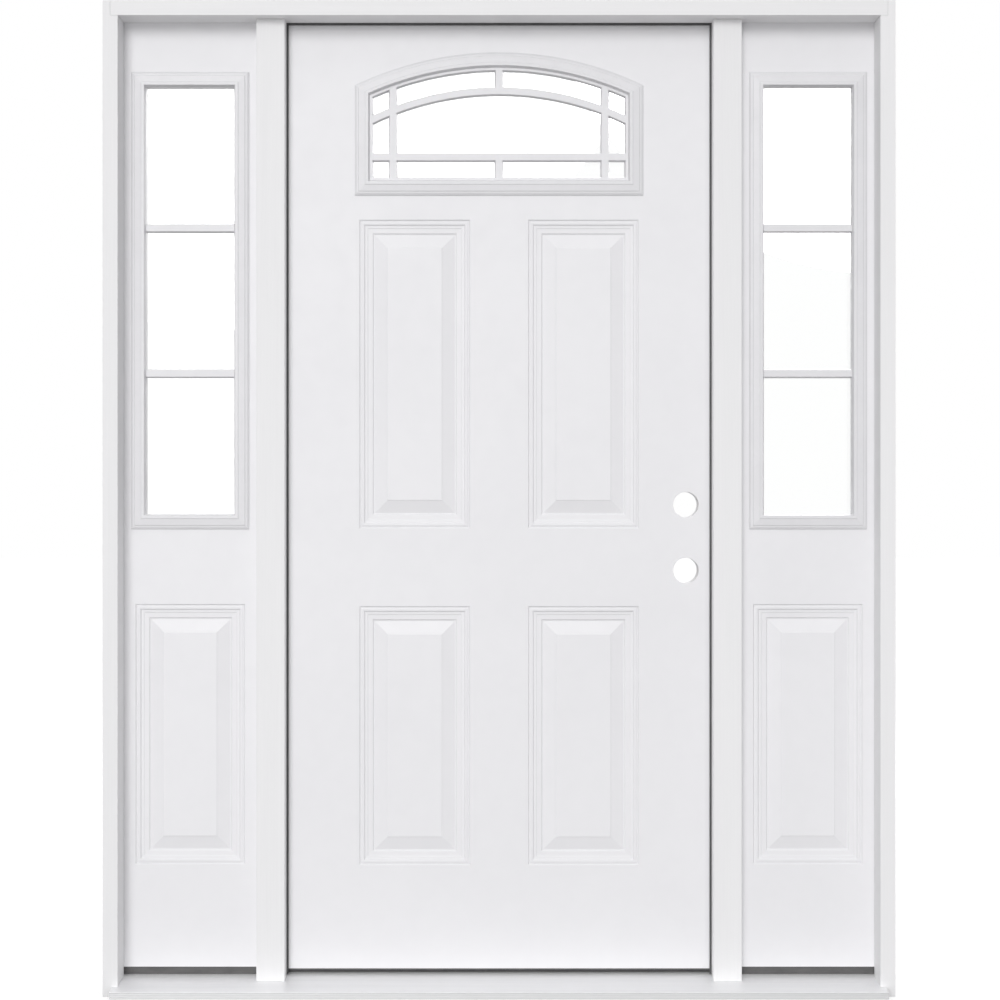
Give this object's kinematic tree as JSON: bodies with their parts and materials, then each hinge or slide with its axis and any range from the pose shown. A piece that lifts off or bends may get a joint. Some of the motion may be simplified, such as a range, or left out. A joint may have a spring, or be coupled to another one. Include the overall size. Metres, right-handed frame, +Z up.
{
  "type": "door with sidelights",
  "caption": "Embossed steel entry door with a camber-top lite, hinged in a rabbeted frame between two fixed glazed sidelights, on a sloping sill.",
  "frame": {"origin": "on the underside of the sill, midway across the unit, in line with the outer edge of the jambs", "axes": "+X to the right as seen from outside, +Y into the building, +Z up"},
  "size_m": [1.652, 0.156, 2.076],
  "materials": {
    "white_wood": "factory-primed white",
    "white_steel": "white primed steel, low sheen",
    "white_plastic": "white moulded, satin",
    "clear_glass": "clear",
    "mill_aluminium": "mill, drawn along its length",
    "sill_composite": "dark composite",
    "dark_vinyl": "matt",
    "plain_wood": "bare pine",
    "hinge_steel": "satin zinc"
  },
  "bodies": {
    "frame": {"bottom_hinge_frame_plate": "hinge_steel", "head_jamb": "white_wood", "head_weatherstrip": "dark_vinyl", "hinge_mullion": "white_wood", "hinge_pins": "hinge_steel", "hinge_side_weatherstrip": "dark_vinyl", "left_jamb": "white_wood", "left_sidelight_block": "sill_composite", "left_sidelight_glass": "clear_glass", "left_sidelight_glass_spacer": "white_plastic", "left_sidelight_grille_outside": "white_plastic", "left_sidelight_inner_skin": "white_steel", "left_sidelight_lite_frame_inside": "white_plastic", "left_sidelight_lite_frame_outside": "white_plastic", "left_sidelight_outer_skin": "white_steel", "left_sidelight_rails": "plain_wood", "left_sidelight_stiles": "plain_wood", "lock_mullion": "white_wood", "lock_side_weatherstrip": "dark_vinyl", "middle_hinge_frame_plate": "hinge_steel", "right_jamb": "white_wood", "right_sidelight_block": "sill_composite", "right_sidelight_glass": "clear_glass", "right_sidelight_glass_spacer": "white_plastic", "right_sidelight_grille_outside": "white_plastic", "right_sidelight_inner_skin": "white_steel", "right_sidelight_lite_frame_inside": "white_plastic", "right_sidelight_lite_frame_outside": "white_plastic", "right_sidelight_outer_skin": "white_steel", "right_sidelight_rails": "plain_wood", "right_sidelight_stiles": "plain_wood", "sill_base": "sill_composite", "sill_cap": "sill_composite", "sill_deck": "mill_aluminium", "top_hinge_frame_plate": "hinge_steel"},
    "door_leaf": {"bottom_hinge_door_plate": "hinge_steel", "bottom_rail": "plain_wood", "door_glass": "clear_glass", "door_glass_spacer": "white_plastic", "door_grille_outside": "white_plastic", "door_inner_skin": "white_steel", "door_lite_frame_inside": "white_plastic", "door_lite_frame_outside": "white_plastic", "door_outer_skin": "white_steel", "door_sweep": "dark_vinyl", "hinge_stile": "plain_wood", "lock_block": "plain_wood", "lock_stile": "plain_wood", "middle_hinge_door_plate": "hinge_steel", "top_hinge_door_plate": "hinge_steel", "top_rail": "plain_wood"}
  },
  "joints": [
    {"name": "door_swing", "type": "hinge", "parent": "frame", "child": "door_leaf", "pos_m": [-0.45955, 0.123, 0], "axis": [0, 0, 1], "range_deg": [0, 110]}
  ]
}
